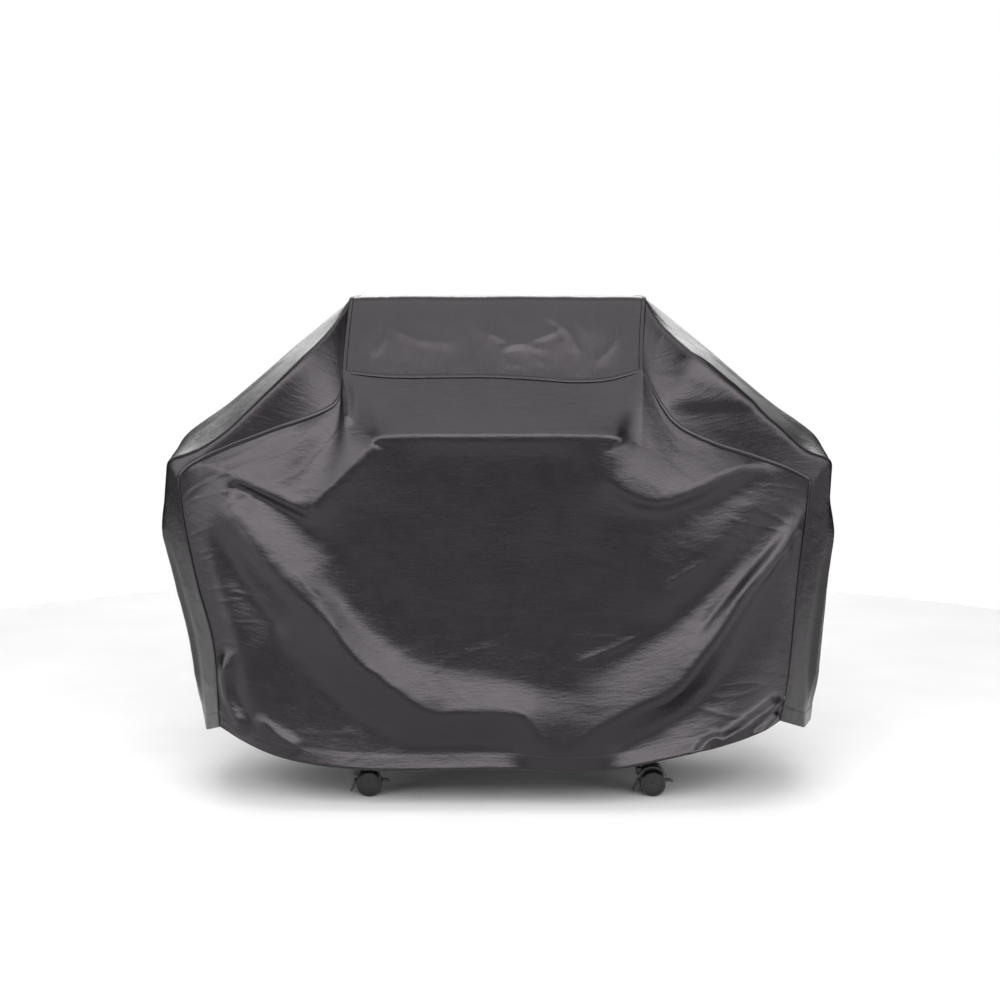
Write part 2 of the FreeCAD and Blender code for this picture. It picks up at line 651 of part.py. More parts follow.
def make_brake(name, x, y, axle_x):
    """A rocker on the axle: a pedal blade in front of the wheels and a release beak behind them."""
    blade = [("-9", "38"), ("-19", "11"), ("-17", "9"), ("-8", "18"), ("-6", "27"), ("-6", "36")]
    bar = [
        ("-8", "25"), ("10", "24"), ("26", "21"), ("42", "25"), ("60", "31"), ("70", "31"), ("74", "29"),
        ("75", "33"), ("69", "38"), ("60", "38.5"), ("42", "36"), ("26", "39"), ("10", "37"), ("-8", "37"),
    ]
    parts = [
        pad(f"brake_blade_{name}", "XZ_Plane", blade, "24", (x, y, "0")),
        pad(f"brake_bar_{name}", "XZ_Plane", bar, "7", (x, y, "0")),
    ]
    hole = rod(f"brake_bore_{name}", "y", "axle_radius + running_gap",
               (axle_x, f"{y} - 10", "wheel_radius"), "20")
    keep(cut(f"brake_{name}", fuse(f"brake_solid_{name}", parts), hole), f"caster_{name}_brake")


make_cover()
make_cart()
make_firebox()
make_lid()
make_controls()
make_side_shelves()
for caster, (stem_x, stem_y, has_brake) in {
    "front_left": ("-leg_x", "-leg_y", True), "front_right": ("leg_x", "-leg_y", True),
    "rear_left": ("-leg_x", "leg_y", False), "rear_right": ("leg_x", "leg_y", False),
}.items():
    make_caster(caster, stem_x, stem_y, has_brake)
doc.recompute()

# ---------------------------------------------------------------- check and write
broken = [o.Name for o in doc.Objects if {"Invalid", "Error"} & set(o.State)]
if broken:
    raise RuntimeError(f"these objects failed: {broken}")
os.makedirs("parts", exist_ok=True)
for obj in SUBPARTS:
    if obj.Shape.isNull() or not obj.Shape.isValid() or not obj.Shape.Solids:
        raise RuntimeError(f"{obj.Label} has no valid solid")
    obj.Shape.exportStep(os.path.join("parts", obj.Label + ".step"))
    print(f"{obj.Label}: {len(obj.Shape.Solids)} solid(s), {obj.Shape.Volume / 1000:.1f} cm3")
print(len(SUBPARTS), "sub-parts")
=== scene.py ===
import math
import bpy
import numpy as np
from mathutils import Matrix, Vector


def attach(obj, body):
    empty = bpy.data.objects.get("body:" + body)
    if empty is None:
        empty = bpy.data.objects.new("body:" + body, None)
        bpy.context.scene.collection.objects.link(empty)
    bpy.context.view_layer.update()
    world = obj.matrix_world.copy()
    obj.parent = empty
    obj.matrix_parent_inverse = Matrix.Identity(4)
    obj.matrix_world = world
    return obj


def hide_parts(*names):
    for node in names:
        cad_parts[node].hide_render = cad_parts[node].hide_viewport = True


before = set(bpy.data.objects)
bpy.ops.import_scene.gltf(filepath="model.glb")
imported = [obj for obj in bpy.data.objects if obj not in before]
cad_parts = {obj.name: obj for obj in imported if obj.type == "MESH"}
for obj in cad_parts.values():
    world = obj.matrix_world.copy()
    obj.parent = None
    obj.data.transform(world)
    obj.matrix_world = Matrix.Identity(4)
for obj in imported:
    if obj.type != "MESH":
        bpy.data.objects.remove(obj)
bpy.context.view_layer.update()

# A fitted grill cover on its wheeled grill.  The grill's nodes come from the frame and get finishes here; the
# cover's five rigid panels are replaced by cloth, made as grids of points in metres.
CAMERA_PLACE, CAMERA_TILT, CAMERA_LENS, SENSOR_WIDTH = (0, -4.083, 1.20), 7.28, 61.2, 36
FLOOR_RADIUS, FLOOR_SIDES = 2.8, 96
FABRIC = (.0032, .0026, .0033)


# ---------------------------------------------------------------- camera, floor and light
def camera():
    """In front of the grill, level with its top, looking slightly down."""
    data = bpy.data.cameras.new("camera")
    data.lens = CAMERA_LENS
    data.sensor_width = SENSOR_WIDTH
    made = bpy.data.objects.new("camera", data)
    made.location = CAMERA_PLACE
    made.rotation_euler = math.radians(90 - CAMERA_TILT), 0, 0
    bpy.context.scene.collection.objects.link(made)
    bpy.context.scene.camera = made


def softbox(name, place, target, size, power):
    """A rectangular light that faces its target."""
    light = bpy.data.lights.new(name, "AREA")
    light.shape = "RECTANGLE"
    light.size, light.size_y = size
    light.energy = power
    made = bpy.data.objects.new(name, light)
    made.location = place
    made.rotation_euler = (Vector(target) - Vector(place)).to_track_quat("-Z", "Y").to_euler()
    bpy.context.scene.collection.objects.link(made)


def studio():
    """Soft lights all round, a white background that lights little, and a pale floor."""
    softbox("key", (0, -3.5, 2.75), (0, 0, .6), (5.2, 2.2), 228)
    softbox("upper_key", (0, -1.5, 4.7), (0, 0, .8), (4.4, 2.0), 76)
    softbox("overhead", (0, 1.4, 5.6), (0, 1.4, 0), (6, 5), 98)
    softbox("left_key", (-3.3, -2.3, 1.6), (0, 0, .7), (3.0, 3.2), 116)
    softbox("right_key", (3.3, -2.3, 1.6), (0, 0, .7), (3.0, 3.2), 106)
    softbox("left_rim", (-3.0, 3.0, 3.0), (0, 0, .7), (2.2, 2.6), 14)
    softbox("right_rim", (3.0, 3.0, 3.0), (0, 0, .7), (2.2, 2.6), 8)
    softbox("back_light", (0, 3.9, 3.0), (0, 0, .6), (5.0, 2.6), 150)
    world = bpy.data.worlds.new("studio")
    bpy.context.scene.world = world
    world.use_nodes = True
    nodes, links = world.node_tree.nodes, world.node_tree.links
    seen = nodes.new("ShaderNodeBackground")
    seen.inputs["Color"].default_value = (1, 1, 1, 1)
    lit = nodes["Background"]
    lit.inputs["Color"].default_value = (1, 1, 1, 1)
    lit.inputs["Strength"].default_value = .02
    rays = nodes.new("ShaderNodeLightPath")
    mix = nodes.new("ShaderNodeMixShader")
    links.new(rays.outputs["Is Camera Ray"], mix.inputs[0])
    links.new(lit.outputs[0], mix.inputs[1])
    links.new(seen.outputs[0], mix.inputs[2])
    links.new(mix.outputs[0], nodes["World Output"].inputs["Surface"])
    bpy.context.scene.view_settings.view_transform = "Standard"
    turns = np.linspace(0, 2 * math.pi, FLOOR_SIDES + 1)[:-1]
    rim = [(FLOOR_RADIUS * math.cos(a), FLOOR_RADIUS * math.sin(a), 0) for a in turns]
    mesh = bpy.data.meshes.new("floor")
    mesh.from_pydata(rim, [], [list(range(len(rim)))])
    floor = bpy.data.objects.new("floor", mesh)
    bpy.context.scene.collection.objects.link(floor)
    paper = Paint("floor_paper", (.70, .70, .70), .9)
    paper.vary(.03, 3)
    mesh.materials.append(paper.made)


# ---------------------------------------------------------------- materials
class Paint:
    """A procedural material: a base, colour variation, roughness variation, relief and worn edges."""

    def __init__(self, name, colour, rough, metal=0.0, specular=.5):
        self.made = bpy.data.materials.new(name)
        self.made.use_nodes = True
        self.nodes, self.links = self.made.node_tree.nodes, self.made.node_tree.links
        self.shader = self.nodes["Principled BSDF"]
        self.shader.inputs["Base Color"].default_value = (*colour, 1)
        self.shader.inputs["Roughness"].default_value = rough
        self.shader.inputs["Metallic"].default_value = metal
        self.shader.inputs["Specular IOR Level"].default_value = specular
        self.colour, self.rough = colour, rough
        self.where = self.nodes.new("ShaderNodeTexCoord").outputs["Object"]
        self.height = None

    def node(self, kind, **values):
        made = self.nodes.new("ShaderNode" + kind)
        for key, value in values.items():
            made.inputs[key].default_value = value
        return made

    def noise(self, scale, detail=4, stretch=None, where=None):
        made = self.node("TexNoise", Scale=scale, Detail=detail, Roughness=.6)
        source = where or self.where
        if stretch:
            placed = self.nodes.new("ShaderNodeMapping")
            placed.inputs["Scale"].default_value = stretch
            self.links.new(source, placed.inputs["Vector"])
            source = placed.outputs[0]
        self.links.new(source, made.inputs["Vector"])
        return made.outputs["Fac"]

    def span(self, value, low, high, start=.3, end=.7):
        made = self.node("MapRange")
        for key, v in (("From Min", start), ("From Max", end), ("To Min", low), ("To Max", high)):
            made.inputs[key].default_value = v
        self.links.new(value, made.inputs["Value"])
        return made.outputs["Result"]

    def mix(self, value, first, second):
        made = self.nodes.new("ShaderNodeMix")
        made.data_type = "RGBA"
        self.links.new(value, made.inputs[0])
        for at, colour in ((6, first), (7, second)):
            if isinstance(colour, tuple):
                made.inputs[at].default_value = (*colour, 1)
            else:
                self.links.new(colour, made.inputs[at])
        return made.outputs[2]

    def vary(self, much, scale, stretch=None, rough=.06):
        """Lighter and darker patches, and roughness that changes with them."""
        field = self.noise(scale, stretch=stretch)
        dark = tuple(max(c * (1 - much), 0) for c in self.colour)
        light = tuple(min(c * (1 + much), 1) for c in self.colour)
        self.paint = self.mix(self.span(field, 0, 1), dark, light)
        self.links.new(self.paint, self.shader.inputs["Base Color"])
        other = self.noise(scale * 2.7, stretch=stretch)
        sheen = self.span(other, self.rough - rough, self.rough + rough)
        self.links.new(sheen, self.shader.inputs["Roughness"])

    def relief(self, value, distance, strength=1.0):
        bump = self.node("Bump", Strength=strength, Distance=distance)
        self.links.new(value, bump.inputs["Height"])
        if self.height:
            self.links.new(self.height, bump.inputs["Normal"])
        self.height = bump.outputs["Normal"]
        self.links.new(self.height, self.shader.inputs["Normal"])

    def wear(self, colour, start=.53, end=.60):
        """A lighter finish where edges stick out."""
        edge = self.nodes.new("ShaderNodeNewGeometry").outputs["Pointiness"]
        rubbed = self.span(edge, 0, .8, start, end)
        self.paint = self.mix(rubbed, self.paint, colour)
        self.links.new(self.paint, self.shader.inputs["Base Color"])


def powder_coat(name, colour, rough=.45):
    """Satin paint with a fine orange peel, rubbed at its edges."""
    made = Paint(name, colour, rough)
    made.vary(.18, 9)
    made.relief(made.noise(900, 2), .0004, .35)
    made.wear(tuple(min(1, c * 2.2 + .03) for c in colour))
    return made.made


def enamel(name, colour, rough=.36):
    """Heat-proof paint with a faint waviness."""
    made = Paint(name, colour, rough, specular=.16)
    made.vary(.12, 5, rough=.04)
    made.relief(made.noise(160, 2), .0005, .25)
    made.wear(tuple(min(1, c * 1.8 + .02) for c in colour))
    return made.made


def steel(name, colour, rough, stretch):
    """Brushed metal, its lines running across the axes that are stretched."""
    made = Paint(name, colour, rough, metal=1.0)
    made.vary(.10, 12, stretch, .08)
    made.relief(made.noise(40, 3, stretch), .0003, .3)
    made.wear(tuple(min(1, c * 1.3) for c in colour))
    return made.made


def plastic(name, colour, rough=.42):
    """Moulded nylon with a fine grain."""
    made = Paint(name, colour, rough)
    made.vary(.15, 30)
    made.relief(made.noise(1400, 2), .0003, .3)
    made.wear(tuple(min(1, c * 1.6 + .02) for c in colour))
    return made.made


def cast_iron(name, colour, rough=.62):
    """Seasoned iron, rough from the mould."""
    made = Paint(name, colour, rough)
    made.vary(.3, 25)
    made.relief(made.noise(380, 5), .0012, .6)
    made.wear((.12, .105, .095))
    return made.made


def fabric():
    """Coated polyester: near black, satin, finely woven and faintly crumpled."""
    made = Paint("cover_fabric_made", FABRIC, .32, specular=.46)
    made.vary(.16, 7, rough=.035)
    flat = made.nodes.new("ShaderNodeUVMap").outputs["UV"]
    made.relief(made.noise(26, 5, (.7, 1.6, 1), flat), .0045, .22)
    made.relief(made.noise(95, 4, (.5, 1.9, 1), flat), .0016, .30)
    threads = []
    for axis in ("X", "Y"):
        wave = made.node("TexWave", Scale=330.0, Distortion=.6)
        wave.inputs["Detail Scale"].default_value = 2.0
        wave.bands_direction = axis
        made.links.new(flat, wave.inputs["Vector"])
        threads.append(wave.outputs["Fac"])
    woven = made.nodes.new("ShaderNodeMath")
    woven.operation = "MAXIMUM"
    for at, thread in enumerate(threads):
        made.links.new(thread, woven.inputs[at])
    made.relief(woven.outputs[0], .0002, .25)
    made.shader.inputs["Specular Tint"].default_value = 1, .93, .99, 1
    return made.made


def thread():
    """The sewing thread, a little duller than the cloth."""
    made = Paint("cover_thread_made", (.030, .028, .030), .55)
    made.vary(.2, 300)
    made.relief(made.noise(2500, 2, (1, 1, 3)), .0002, .5)
    return made.made


def paint_frame():
    """Every node of the grill gets its slot's finish."""
    finishes = {
        "cart_steel": powder_coat("cart_steel_made", (.035, .035, .037)),
        "leg_plug_plastic": plastic("leg_plug_made", (.02, .02, .02)),
        "zinc_steel": steel("zinc_steel_made", (.055, .055, .058), .42, (30, 30, 30)),
        "firebox_enamel": enamel("firebox_enamel_made", (.022, .022, .023), .40),
        "lid_enamel": enamel("lid_enamel_made", (.028, .028, .030)),
        "grate_iron": cast_iron("grate_iron_made", (.028, .026, .025)),
        "burner_steel": steel("burner_steel_made", (.50, .47, .43), .40, (1, 50, 50)),
        "handle_steel": steel("handle_steel_made", (.66, .66, .65), .24, (1, 90, 90)),
        "gauge_steel": steel("gauge_steel_made", (.62, .62, .61), .28, (50, 50, 50)),
        "panel_steel": steel("panel_steel_made", (.55, .55, .54), .30, (1, 70, 70)),
        "valve_brass": steel("valve_brass_made", (.62, .46, .22), .33, (25, 25, 25)),
        "knob_plastic": plastic("knob_plastic_made", (.018, .018, .019), .35),
        "shelf_enamel": enamel("shelf_enamel_made", (.045, .045, .047), .46),
        "hood_plastic": plastic("hood_plastic_made", (.0125, .0125, .013), .38),
        "wheel_plastic": plastic("wheel_plastic_made", (.011, .011, .0115), .33),
        "brake_plastic": plastic("brake_plastic_made", (.0125, .0125, .013), .36),
    }
    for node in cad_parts.values():
        for at, old in enumerate(node.data.materials):
            name = old.name.split(".")[0]
            if name in finishes:
                node.data.materials[at] = finishes[name]


# ---------------------------------------------------------------- the cover's cloth
def along(points, share):
    """Points at shares of the length of a run of straight lines."""
    points = np.array(points, float)
    run = np.r_[0, np.cumsum(np.linalg.norm(np.diff(points, axis=0), axis=1))]
    at = np.asarray(share) * run[-1]
    return np.stack([np.interp(at, run, points[:, k]) for k in range(points.shape[1])], -1)


def refine(grid, factor, axis=0):
    """Catmull-Rom interpolation of a grid of points, factor times finer along one axis."""
    grid = np.moveaxis(np.asarray(grid, float), axis, 0)
    count = len(grid)
    padded = np.concatenate([[2 * grid[0] - grid[1]], grid, [2 * grid[-1] - grid[-2]]])
    t = np.linspace(0, count - 1, (count - 1) * factor + 1)
    i = np.clip(np.floor(t).astype(int), 0, count - 2)
    f = (t - i).reshape((-1,) + (1,) * (grid.ndim - 1))
    a, b, c, d = padded[i], padded[i + 1], padded[i + 2], padded[i + 3]
    out = .5 * (2 * b + (c - a) * f + (2 * a - 5 * b + 4 * c - d) * f ** 2
                + (3 * b - a - 3 * c + d) * f ** 3)
    return np.moveaxis(out, 0, axis)


def curve(points, count, smooth=True):
    """count + 1 points spread evenly along a curve through the points."""
    return along(refine(points, 10) if smooth else points, np.linspace(0, 1, count + 1))


def blur(grid, passes, axes=(0, 1)):
    """Smooths a grid; its edges stay where they are."""
    grid = grid.copy()
    for _ in range(passes):
        for axis in axes:
            g = np.moveaxis(grid, axis, 0)
            g[1:-1] = .5 * g[1:-1] + .25 * (g[:-2] + g[2:])
    return grid


def coons(left, right, low, high):
    """A grid between four edges: left and right run up, low and high run across."""
    u = np.linspace(0, 1, len(low))[None, :, None]
    v = np.linspace(0, 1, len(left))[:, None, None]
    return ((1 - v) * low[None] + v * high[None] + (1 - u) * left[:, None] + u * right[:, None]
            - ((1 - u) * (1 - v) * low[0] + u * (1 - v) * low[-1] + (1 - u) * v * high[0] + u * v * high[-1]))


def step(x):
    """An eased rise from 0 to 1."""
    x = np.clip(x, 0, 1)
    return x * x * (3 - 2 * x)


SIDE_CELLS, SLOPE_CELLS, LID_CELLS, GUSSET_CELLS = 190, 90, 150, 130
COLUMNS = 2 * SLOPE_CELLS + LID_CELLS

# Seams and hems as they hang on the grill, from the hem up and from left to right, in metres.
SIDE_L = [(-.643, -.275, .190), (-.655, -.262, .375), (-.690, -.252, .513), (-.716, -.255, .65),
          (-.727, -.262, .765)]
SIDE_R = [(.643, -.275, .204), (.663, -.258, .31), (.682, -.250, .54), (.694, -.254, .66),
          (.700, -.262, .757)]
SLOPE_L = [(-.727, -.262, .765), (-.692, -.262, .794), (-.610, -.260, .831), (-.523, -.258, .864),
           (-.379, -.245, .922), (-.358, -.208, .999)]
SLOPE_R = [(.700, -.262, .757), (.641, -.265, .785), (.560, -.262, .812), (.483, -.258, .837),
           (.409, -.248, .872), (.371, -.238, .914), (.325, -.208, 1.003)]
LID_SEAM = [SLOPE_L[-1], (-.29, -.206, .989), (-.218, -.205, .985), (-.03, -.205, .986),
            (.09, -.206, .980), (.17, -.208, .975), (.25, -.208, .980), SLOPE_R[-1]]
HEM_F = [(-.643, -.275, .190), (-.598, -.304, .168), (-.550, -.317, .148), (-.515, -.323, .133),
         (-.480, -.327, .126), (-.41, -.332, .113), (-.341, -.335, .107), (-.237, -.339, .104),
         (0, -.341, .109), (.135, -.343, .102), (.205, -.342, .103), (.273, -.340, .108),
         (.41, -.336, .137), (.52, -.325, .160), (.60, -.309, .187), (.643, -.275, .204)]
# How far out the sides stand half way between the seams, as (distance from the middle, height).
CROWN_L = [(-.728, .134), (-.740, .208), (-.760, .358), (-.781, .507), (-.797, .654), (-.793, .727),
           (-.782, .80)]
CROWN_R = [(.768, .134), (.776, .208), (.785, .358), (.794, .507), (.798, .654), (.793, .727), (.782, .80)]
CROWN_SLOPE = [(.782, .80), (.762, .836), (.711, .875), (.657, .911), (.571, .982), (.488, 1.053),
               (.40, 1.122), (.345, 1.161)]
# The fold that runs up the front of each side, beside the corner seam, then over the shoulder to the lid.
RIDGE_L = ([(-.690, -.19, .160), (-.705, -.19, .36), (-.740, -.19, .51), (-.772, -.20, .66),
            (-.758, -.242, .800)],
           [(-.758, -.242, .800), (-.730, -.253, .812), (-.690, -.258, .822), (-.623, -.262, .864),
            (-.566, -.262, .917), (-.498, -.256, .982), (-.440, -.234, 1.040), (-.392, -.183, 1.088),
            (-.354, -.113, 1.137)])
RIDGE_R = ([(.715, -.19, .165), (.722, -.19, .36), (.738, -.19, .51), (.758, -.20, .66), (.757, -.242, .800)],
           [(.757, -.242, .800), (.730, -.253, .812), (.692, -.258, .822), (.640, -.262, .871),
            (.569, -.260, .931), (.501, -.250, .989), (.440, -.222, 1.042), (.387, -.165, 1.088),
            (.352, -.111, 1.139)])
LID_HALF = .344
LID_SECTION = [(-.2085, .999), (-.200, 1.012), (-.113, 1.160), (-.102, 1.1695), (.152, 1.1695),
               (.161, 1.160), (.2115, 1.010), (.2125, .999)]

# Folds of the front as curves of (x, y, z) that the cloth passes through: crisp creases, soft hollows.
CREASES = [
    # over the handle
    [(-.270, -.310, .843), (-.247, -.3135, .857), (0, -.314, .858), (.238, -.3135, .857),
     (.262, -.310, .840)],
    # the long U from shoulder to shoulder
    [(-.40, -.339, .465), (-.372, -.341, .420), (-.320, -.344, .353), (-.275, -.345, .318),
     (-.21, -.346, .267), (-.150, -.346, .234), (-.079, -.346, .235), (.036, -.346, .232),
     (.064, -.346, .207), (.093, -.347, .168), (.125, -.346, .133), (.175, -.346, .161),
     (.217, -.346, .195), (.294, -.345, .240), (.370, -.343, .274), (.408, -.341, .302),
     (.446, -.338, .353), (.499, -.331, .424), (.551, -.320, .508), (.606, -.304, .570),
     (.654, -.284, .633), (.688, -.263, .70)],
    # under the left shoulder seam, to the foot of the tent, and from there up to the ledge
    [(-.690, -.264, .790), (-.60, -.288, .764), (-.534, -.299, .735), (-.47, -.305, .708),
     (-.421, -.308, .691)],
    [(-.421, -.308, .691), (-.391, -.309, .725), (-.349, -.311, .765), (-.308, -.314, .804),
     (-.270, -.315, .845)],
    # the swag from the ledge's right end up to the right shoulder
    [(.250, -.3145, .838), (.241, -.317, .791), (.262, -.319, .753), (.304, -.318, .726),
     (.359, -.314, .716), (.435, -.305, .739), (.502, -.292, .770), (.583, -.274, .795)],
]
HOLLOWS = [
    # the left arm of the U
    [(-.652, -.272, .772), (-.628, -.289, .735), (-.59, -.312, .672), (-.54, -.327, .595),
     (-.48, -.337, .530), (-.405, -.343, .470), (-.36, -.344, .405)],
    # the middle under the ledge
    [(-.20, -.305, .80), (0, -.305, .80), (.18, -.305, .80)],
    [(-.30, -.300, .70), (-.12, -.297, .60), (.05, -.297, .57), (.22, -.298, .61)],
    # above the U, where its light face slowly begins
    [(-.60, -.274, .752), (-.53, -.284, .712), (-.46, -.289, .668), (-.38, -.294, .60),
     (-.29, -.297, .52), (-.18, -.299, .45), (-.06, -.300, .42), (.07, -.300, .41), (.18, -.299, .42),
     (.28, -.297, .46)],
    [(-.40, -.303, .54), (-.33, -.304, .465), (-.25, -.306, .40), (-.16, -.309, .35), (-.04, -.311, .33),
     (.08, -.313, .30), (.17, -.313, .29)],
    # under the swag, and the light wedge below it
    [(.24, -.303, .72), (.28, -.299, .690), (.355, -.293, .672), (.43, -.285, .690), (.51, -.276, .722),
     (.60, -.266, .765)],
    [(.615, -.272, .745), (.534, -.289, .665), (.474, -.297, .598), (.409, -.302, .535), (.345, -.304, .475)],
    [(.675, -.263, .720), (.62, -.273, .655), (.55, -.283, .580), (.47, -.291, .50), (.39, -.297, .435),
     (.31, -.302, .385), (.22, -.310, .32)],
    # between the corner seams and the faces that turn towards them
    [(-.690, -.264, .745), (-.668, -.272, .690), (-.652, -.278, .622), (-.628, -.287, .507),
     (-.593, -.297, .391), (-.568, -.304, .275), (-.520, -.312, .175)],
    [(-.645, -.266, .64), (-.60, -.272, .56), (-.54, -.278, .47), (-.48, -.287, .38), (-.42, -.292, .29),
     (-.34, -.303, .225), (-.24, -.316, .175)],
    [(.678, -.258, .640), (.672, -.257, .577), (.652, -.261, .485), (.605, -.273, .36),
     (.560, -.293, .265), (.512, -.313, .200), (.437, -.330, .140)],
    [(.655, -.264, .585), (.60, -.272, .48), (.54, -.281, .37), (.46, -.294, .265), (.37, -.309, .20),
     (.26, -.322, .148)],
    # just above the hem
    [(-.38, -.315, .165), (-.22, -.320, .158), (-.06, -.322, .158), (.04, -.325, .150)],
    # left of the tent, and from the lid's seam down to each end of the ledge
    [(-.378, -.240, .945), (-.418, -.268, .866), (-.455, -.284, .785), (-.466, -.294, .735)],
    [(-.355, -.216, .985), (-.320, -.248, .938), (-.288, -.285, .888)],
    [(.320, -.216, .985), (.312, -.243, .938), (.310, -.268, .880), (.306, -.281, .840)],
]
BACK_CREASES = [
    [(-.69, .226, .775), (-.61, .243, .672), (-.50, .261, .566), (-.39, .274, .452), (-.25, .284, .335),
     (-.06, .288, .262), (.13, .287, .276), (.28, .281, .356), (.41, .269, .475), (.54, .253, .585),
     (.66, .235, .69)],
    [(-.335, .220, .975), (-.37, .236, .875), (-.43, .246, .775), (-.505, .252, .70)],
    [(.330, .220, .975), (.355, .238, .880), (.385, .247, .800), (.36, .252, .715), (.30, .255, .65)],
    [(-.57, .238, .815), (-.47, .246, .79), (-.38, .250, .73)],
]
BACK_HOLLOWS = [
    [(-.63, .226, .755), (-.52, .229, .66), (-.40, .234, .565), (-.22, .240, .475), (-.02, .243, .435),
     (.18, .242, .455), (.34, .237, .54), (.48, .229, .645), (.60, .225, .735)],
    [(-.30, .240, .83), (-.02, .242, .80), (.28, .241, .83)],
    [(-.66, .242, .58), (-.63, .254, .43), (-.585, .266, .28), (-.53, .276, .19)],
    [(-.60, .234, .54), (-.53, .240, .42), (-.44, .250, .30), (-.32, .262, .21)],
    [(.655, .243, .55), (.62, .256, .40), (.57, .269, .27), (.50, .279, .17)],
    [(.60, .235, .50), (.53, .242, .38), (.43, .252, .27), (.30, .264, .19)],
]
# Small folds as (line, height, half width): in x and z on the top, front and back, in y and z on the sides.
TOP_PLEATS = [
    ([(-.01, 1.045), (.07, 1.068), (.15, 1.098)], .0019, .008),
    ([(-.05, 1.098), (.03, 1.064), (.12, 1.045)], .0016, .009),
    ([(.10, 1.135), (.155, 1.09), (.185, 1.03)], .0018, .009),
    ([(-.26, 1.10), (-.18, 1.07), (-.09, 1.062)], .0011, .012),
    ([(.215, 1.015), (.26, 1.06), (.275, 1.11)], .0018, .009),
    ([(-.30, 1.03), (-.27, 1.07), (-.28, 1.12)], .0015, .012),
]
FRONT_PLEATS = [
    ([(.648, .262), (.600, .226), (.545, .190), (.480, .152)], .0150, .014),
    ([(.640, .224), (.605, .198), (.575, .165)], .0110, .011),
    ([(.505, .185), (.465, .160), (.440, .132)], .0080, .011),
    ([(-.618, .380), (-.625, .300), (-.610, .235), (-.572, .180)], .0150, .016),
    ([(-.560, .225), (-.505, .180), (-.450, .145)], .0070, .014),
    ([(.652, .655), (.586, .585), (.531, .521), (.478, .458), (.440, .405)], -.0035, .009),
    ([(-.621, .507), (-.569, .496), (-.500, .474)], .0011, .006),
    ([(-.352, .985), (-.340, .930), (-.343, .880)], .0050, .010),
    ([(-.455, .560), (-.430, .520), (-.395, .490)], .0018, .007),
    ([(-.50, .45), (-.468, .37), (-.43, .28), (-.36, .19)], .0045, .030),
    ([(.36, .515), (.41, .545), (.47, .580)], .0018, .008),
    ([(.16, .34), (.25, .375), (.33, .41)], .0020, .009),
]
BACK_PLEATS = [
    ([(-.648, .270), (-.590, .222), (-.52, .175)], .0070, .014),
    ([(.640, .30), (.60, .24), (.55, .185)], .0065, .013),
    ([(-.20, .62), (-.08, .585), (.05, .60)], .0030, .018),
    ([(.10, .74), (.20, .70), (.27, .63)], .0035, .016),
    ([(-.45, .36), (-.40, .29), (-.31, .22)], .0050, .022),
    ([(.05, .21), (.18, .175), (.30, .17)], .0045, .020),
]
LEFT_PLEATS = [
    ([(-.160, .175), (-.150, .36), (-.160, .55), (-.19, .72)], .0150, .018),
    ([(-.04, .15), (-.05, .36), (-.03, .60)], .0070, .028),
    ([(.10, .16), (.08, .38), (.11, .60), (.14, .74)], .0090, .024),
    ([(-.06, .84), (-.03, .93), (-.05, 1.05)], .0040, .022),
    ([(.09, .83), (.12, .92), (.09, 1.03)], .0050, .024),
    ([(-.15, .80), (-.05, .755), (.08, .745)], .0035, .016),
]
RIGHT_PLEATS = [
    ([(-.165, .180), (-.150, .36), (-.155, .55), (-.19, .72)], .0190, .018),
    ([(-.06, .15), (-.05, .40), (-.08, .63)], .0120, .022),
    ([(.06, .15), (.04, .36), (.07, .60), (.10, .73)], .0080, .026),
    ([(.155, .18), (.14, .38), (.165, .58)], .0065, .018),
    ([(-.08, .84), (-.05, .95), (-.07, 1.06)], .0045, .022),
    ([(.08, .85), (.11, .96), (.07, 1.07)], .0050, .026),
    ([(-.14, .79), (-.03, .75), (.10, .76)], .0040, .016),
    ([(-.214, 1.06), (-.235, .985), (-.252, .905)], .0060, .014),
]


def nearest(points, line, axes=(0, 2)):
    """For each point, the distance to a line in two axes, the line's y there, and the share of the way."""
    axes = list(axes)
    a, ab = line[:-1], np.diff(line, axis=0)
    best = np.full(len(points), 1e9)
    y, share = np.zeros(len(points)), np.zeros(len(points))
    for k, (p, d) in enumerate(zip(a, ab)):
        t = np.clip(((points - p[axes]) @ d[axes]) / (d[axes] @ d[axes]), 0, 1)
        away = np.hypot(points[:, 0] - p[axes[0]] - t * d[axes[0]], points[:, 1] - p[axes[1]] - t * d[axes[1]])
        closer = away < best
        best[closer] = away[closer]
        y[closer] = (p[1] + t * d[1])[closer]
        share[closer] = ((k + t) / len(ab))[closer]
    return best, y, share


def pleated(grid, up, pleats, axes):
    """Small folds lifted along lines on the cloth."""
    flat = grid[..., list(axes)].reshape(-1, 2)
    lift = np.zeros(len(flat))
    for line, height, width in pleats:
        away, _, share = nearest(flat, refine(line, 6), (0, 1))
        lift += height * np.exp(-(away / width) ** 2) * step(np.minimum(share, 1 - share) / .22)
    return grid + up * lift.reshape(grid.shape[:2])[..., None]


# How a panel is pulled tight: coarse to fine, sweeps at each, and how hard and how far a fold line holds it.
SKIPS, SWEEPS, HOLD = (10, 5, 2, 1), 300, 30
HOLD_REACH, HOLD_REACH_PER_SKIP, CRISP_REACH = .003, .002, .035
SOFT_PASSES, CRISP_PASSES = 34, 2


